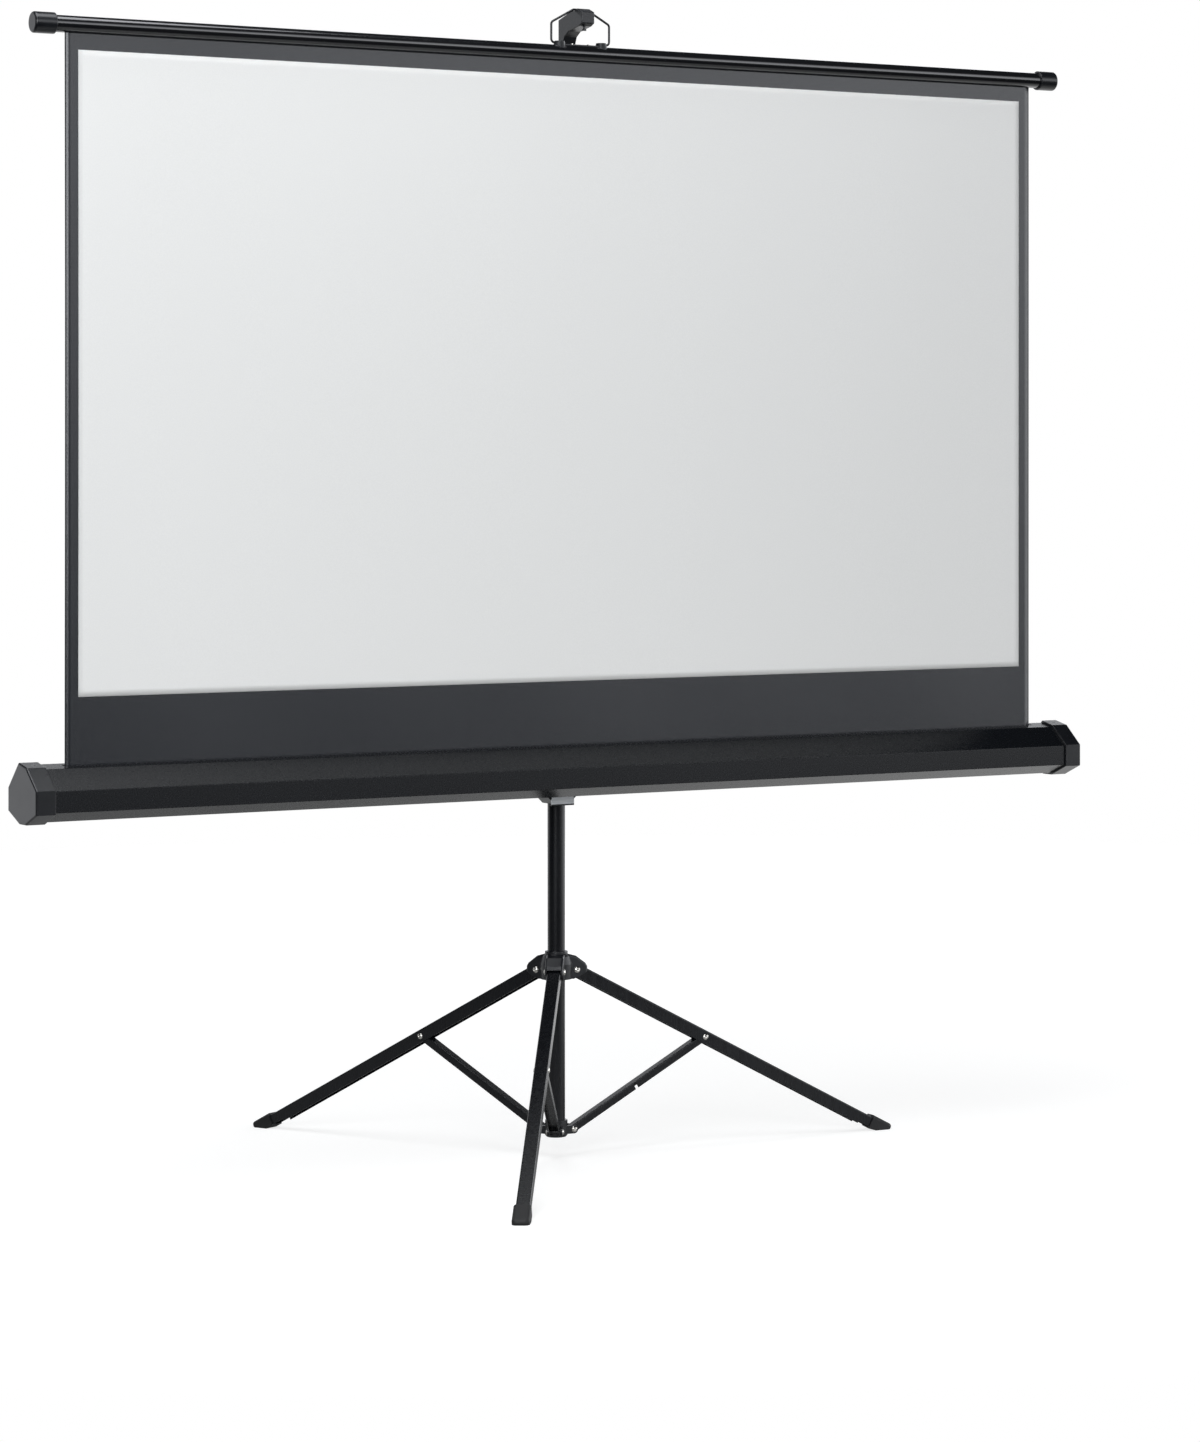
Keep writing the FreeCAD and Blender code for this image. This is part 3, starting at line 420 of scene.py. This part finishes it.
def cloth_mesh(name, middle, normal, thick, material):
    """A closed sheet: a grid of middle points moved half the thickness along the normals to
    each side, and the four edges joined by strips."""
    rows, columns = middle.shape[:2]
    points = np.concatenate([(middle + normal * thick / 2).reshape(-1, 3),
                             (middle - normal * thick / 2).reshape(-1, 3)])
    front = np.arange(rows * columns).reshape(rows, columns)
    back = front + rows * columns

    def quads(a, b):
        return np.stack([a[:-1], a[1:], b[1:], b[:-1]], -1).reshape(-1, 4)

    face = np.stack([front[:-1, :-1], front[:-1, 1:], front[1:, 1:], front[1:, :-1]], -1).reshape(-1, 4)
    rear = face[:, ::-1] + rows * columns
    rims = [quads(back[0], front[0]), quads(front[-1], back[-1]),
            quads(front[:, 0], back[:, 0]), quads(back[:, -1], front[:, -1])]
    mesh = bpy.data.meshes.new(name)
    mesh.from_pydata(points.tolist(), [], np.concatenate([face, rear] + rims).tolist())
    smooth = np.zeros(len(mesh.polygons), bool)
    smooth[:2 * len(face)] = True
    mesh.polygons.foreach_set("use_smooth", smooth)
    mesh.materials.append(material)
    mesh.update()
    made = bpy.data.objects.new(name, mesh)
    bpy.context.scene.collection.objects.link(made)
    return made


def hung_surface(x, z, y, foot, head):
    """The hung cloth at a grid of x and z: y plus 2.2 sine waves across the width, and 5 of half
    their height that lean a little, all fading out at the casing and the bar as half a sine wave
    does; the side edges curl forward as x to the 6th."""
    side, rise = np.meshgrid(x / sheet_half, np.clip((z - foot) / (head - foot), 0, 1))
    fade = np.sin(np.pi * rise)
    wave = np.sin(2.2 * np.pi * side + 0.6) + 0.5 * np.sin(5 * np.pi * side + 1.2 * rise)
    depth = y + WAVE_HEIGHT * fade * wave - EDGE_CURL * fade * np.abs(side) ** 6
    return np.stack([side * sheet_half, depth, np.repeat(z[:, None], len(x), 1)], -1)


low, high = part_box("screen_sheet")
casing_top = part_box("casing_shell")[1].z
bar_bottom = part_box("top_bar_tube")[0].z
sheet_half = high.x
screen_y = (low.y + high.y) / 2
toward = np.array([0.0, -1.0, 0.0])
x = np.linspace(-sheet_half, sheet_half, CLOTH_GRID[0])
z = np.concatenate([[low.z], np.linspace(casing_top, bar_bottom, CLOTH_GRID[1]), [high.z]])
hung = hung_surface(x, z, screen_y, casing_top, bar_bottom)
panel = cloth_mesh("screen_panel", hung, toward, CLOTH_THICK, cloth)
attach(panel, "rod")
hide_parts("screen_sheet")
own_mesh(panel)

# Viewing surface: a white vinyl coat spread on the front of the cloth inside its dark border.
# It is cast with a fine even tooth, and moves with the cloth.
WHITE = "#ecece9"
WHITE_SHADE = "#e4e4e1"
TOOTH_MM = 1.5
TOOTH_DEPTH = 0.0002
COAT_THICK = 0.0003
COAT_GAP = 0.0001
COAT_GRID = (161, 101)

# The coat gives an even matt white that spreads light, with no highlight of its own. Its tooth
# of a few tenths of a millimetre is too fine to show, and is drawn about five times coarser.
white = blank("matt_white_screen_coat")
place = add(white, "TexCoord").outputs["Object"]
tooth = speckle(white, place, TOOTH_MM, 2.0)
bump = add(white, "Bump", {}, {"Height": tooth, "Strength": 0.08, "Distance": TOOTH_DEPTH})
cover(white, {"Base Color": blend(white, tooth, WHITE, WHITE_SHADE), "Roughness": 0.75,
              "Normal": bump.outputs["Normal"]})
near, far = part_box("viewing_surface")
x = np.linspace(near.x, far.x, COAT_GRID[0])
z = np.linspace(near.z, far.z, COAT_GRID[1])
forward = screen_y - (CLOTH_THICK + COAT_THICK) / 2 - COAT_GAP
hung = hung_surface(x, z, forward, casing_top, bar_bottom)
coat = cloth_mesh("viewing_coat", hung, toward, COAT_THICK, white)
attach(coat, "rod")
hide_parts("viewing_surface")
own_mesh(coat)

# Wound cloth: the rest of the screen, rolled on the sprung tube inside the casing.
# Its turns lie on one another, a little looser than the cloth is thick.
TURNS = 2.4
TURN_STEPS = 48
TURN_COLUMNS = 3
TURN_SLACK = 1.2


def wound_surface(low, high):
    """The wound cloth as a grid of angle and x, with its normals: a spiral about the long axis of
    a box. Its radius starts half a thickness inside the box and falls by one pitch each turn."""
    centre = np.array([0, (low.y + high.y) / 2, (low.z + high.z) / 2])
    angle = np.linspace(np.pi, np.pi - 2 * np.pi * TURNS, int(TURN_STEPS * TURNS))
    pitch = CLOTH_THICK * TURN_SLACK
    radius = (high.z - low.z) / 2 - CLOTH_THICK / 2 - pitch * (np.pi - angle) / (2 * np.pi)
    spoke = np.stack([np.zeros_like(angle), np.cos(angle), np.sin(angle)], -1)
    along = np.linspace(low.x, high.x, TURN_COLUMNS)[None, :, None] * [1, 0, 0]
    middle = centre + (radius[:, None] * spoke)[:, None, :] + along
    return middle, np.repeat(spoke[:, None, :], TURN_COLUMNS, 1)


low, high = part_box("fabric_wraps")
middle, outward = wound_surface(low, high)
roll = cloth_mesh("wound_cloth", middle, outward, CLOTH_THICK, cloth)
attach(roll, "roller")
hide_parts("fabric_wraps")

# Floor: a round of plain pale paper that fades into the backdrop at its rim, and keeps the
# object's soft shadow. To the camera, and mirrored from behind the object, it runs out to white.
FLOOR = "#b8b8b6"
NEAR_LIFT = 0.70
FAR_LIFT = 0.95
LIFT_REACH = (0.5, 3.0)
REAR_REACH = (0.0, 1.5)
RIM_REACH = (2.3, 3.0)
PAPER_MIDDLE = (0.86, 1.34, 0.0)
PAPER_HALF = 5
BEHIND = (0.54, 0.84, 0.0)
PLAIN_WHITE = "#ffffff"


def ramp(material, amount, reach, limits):
    """A value that goes smoothly from one limit to the other while amount crosses a reach."""
    made = add(material, "MapRange", {"interpolation_type": "SMOOTHSTEP"}, {
        "Value": amount, "From Min": reach[0], "From Max": reach[1],
        "To Min": limits[0], "To Max": limits[1]})
    return made.outputs["Result"]


def measure(material, operation, first, second):
    """One number from two vectors, such as their distance or dot product."""
    made = add(material, "VectorMath", {"operation": operation}, {0: first, 1: second})
    return made.outputs["Value"]


# Paper gives a white ground with a soft grey shadow and no edge to be seen.
paper = blank("pale_studio_floor")
ray = add(paper, "LightPath").outputs
place = add(paper, "TexCoord").outputs["Object"]
lift = ramp(paper, measure(paper, "DISTANCE", place, (0, 0, 0)), LIFT_REACH, (NEAR_LIFT, FAR_LIFT))
rear = ramp(paper, measure(paper, "DOT_PRODUCT", place, BEHIND), REAR_REACH, (0.0, 1.0))
bounced = combine(paper, "MAXIMUM", ray["Is Glossy Ray"], ray["Is Transmission Ray"])
mirrored = combine(paper, "MULTIPLY", bounced, rear)
seen = combine(paper, "MAXIMUM", ray["Is Camera Ray"], mirrored)
glow = combine(paper, "MULTIPLY", seen, lift)
matt = add(paper, "BsdfDiffuse", {}, {"Color": linear(FLOOR)})
shine = add(paper, "Emission", {}, {"Color": linear(PLAIN_WHITE), "Strength": glow})
both = add(paper, "AddShader", {}, {0: matt.outputs["BSDF"], 1: shine.outputs["Emission"]})
rim = ramp(paper, measure(paper, "DISTANCE", place, PAPER_MIDDLE), RIM_REACH, (0.0, 1.0))
clear = add(paper, "BsdfTransparent")
faded = add(paper, "MixShader", {}, {0: rim, 1: both.outputs["Shader"], 2: clear.outputs["BSDF"]})
add(paper, "OutputMaterial", {}, {"Surface": faded.outputs["Shader"]})
mesh = bpy.data.meshes.new("studio_floor")
corners = [(x * PAPER_HALF, y * PAPER_HALF, 0) for x, y in ((-1, -1), (1, -1), (1, 1), (-1, 1))]
mesh.from_pydata(corners, [], [(0, 1, 2, 3)])
mesh.materials.append(paper)
floor = bpy.data.objects.new("studio_floor", mesh)
bpy.context.scene.collection.objects.link(floor)

# Light: a white backdrop low behind the object, and a dark room in front of it. A pale panel on the
# right has a slanting lower edge. One soft box is overhead, and one in front on the left.
ROOM_DARK = 0.02
ROOM_BACK = 0.9
ROOM_PANEL = 2.4
BACK_REACH = (-0.1, 0.4)
PANEL_WAY = (0.69, -0.14, 2.0)
PANEL_REACH = (0.38, 0.58)
WALL_TOP = (0.2, 0.55)
COOL_WHITE = "#f9fbff"
BOX_SIZE = 2.2
OVERHEAD_PLACE = (-0.7, -0.5, 3.2)
OVERHEAD_AIM = (-0.1, -0.1, 0.9)
OVERHEAD_WATTS = 65
FRONT_PLACE = (-3.0, -3.6, 1.9)
FRONT_AIM = (0, 0, 0.8)
FRONT_WATTS = 110

room = bpy.data.worlds.new("studio_room")
bpy.context.scene.world = room
room.use_nodes = True
room.node_tree.nodes.clear()
ray = add(room, "LightPath").outputs
way = add(room, "TexCoord").outputs["Generated"]
height = add(room, "SeparateXYZ", {}, {"Vector": way}).outputs["Z"]
back = ramp(room, measure(room, "DOT_PRODUCT", way, BEHIND), BACK_REACH, (0.0, ROOM_BACK))
pale = ramp(room, measure(room, "DOT_PRODUCT", way, PANEL_WAY), PANEL_REACH, (0.0, ROOM_PANEL))
walls = combine(room, "MAXIMUM", back, pale)
upright = combine(room, "MULTIPLY", walls, ramp(room, height, WALL_TOP, (1.0, 0.0)))
level = combine(room, "MAXIMUM", upright, ROOM_DARK)
walls_lit = add(room, "Background", {}, {"Color": linear(COOL_WHITE), "Strength": level})
backdrop = add(room, "Background", {}, {"Color": linear(PLAIN_WHITE), "Strength": 1.0})
shown = add(room, "MixShader", {}, {0: ray["Is Camera Ray"], 1: walls_lit.outputs["Background"],
                                    2: backdrop.outputs["Background"]})
add(room, "OutputWorld", {}, {"Surface": shown.outputs["Shader"]})


def soft_box(name, at, aim, size, power):
    """A square lamp at a place, turned to face an aim."""
    lamp = bpy.data.lights.new(name, "AREA")
    lamp.size = size
    lamp.energy = power
    lamp.color = linear(COOL_WHITE)[:3]
    made = bpy.data.objects.new(name, lamp)
    bpy.context.scene.collection.objects.link(made)
    made.location = at
    way = np.array(aim, float) - np.array(at, float)
    yaw = math.atan2(way[0], -way[1])
    made.rotation_euler = (math.atan2(math.hypot(way[0], way[1]), -way[2]), 0, yaw + math.pi)


soft_box("overhead_box", OVERHEAD_PLACE, OVERHEAD_AIM, BOX_SIZE, OVERHEAD_WATTS)
soft_box("front_box", FRONT_PLACE, FRONT_AIM, BOX_SIZE, FRONT_WATTS)

# Camera: level, in front and to the left, so that upright lines stay upright; its lens is shifted
# to hold the whole object. Focal length and lens middle are in pixels of the image.
IMAGE = (1200, 1442)
FOCAL = 4268
MIDDLE = (839.2, 456.0)
SENSOR_MM = 36
CAMERA_FROM_MAST = (-2.5994, -4.6745, 0.8766)
CAMERA_TURN = 32.87

lens = bpy.data.cameras.new("view_camera")
lens.sensor_width = SENSOR_MM
lens.lens = FOCAL * SENSOR_MM / IMAGE[1]
lens.shift_x = (IMAGE[0] / 2 - MIDDLE[0]) / IMAGE[1]
lens.shift_y = (MIDDLE[1] - IMAGE[1] / 2) / IMAGE[1]
camera = bpy.data.objects.new("view_camera", lens)
bpy.context.scene.collection.objects.link(camera)
mast_y = (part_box("mast_tube")[0].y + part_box("mast_tube")[1].y) / 2
camera.location = (CAMERA_FROM_MAST[0], CAMERA_FROM_MAST[1] + mast_y, CAMERA_FROM_MAST[2])
camera.rotation_euler = (math.pi / 2, 0, -math.radians(CAMERA_TURN))
bpy.context.scene.camera = camera
bpy.context.scene.view_settings.view_transform = "Standard"
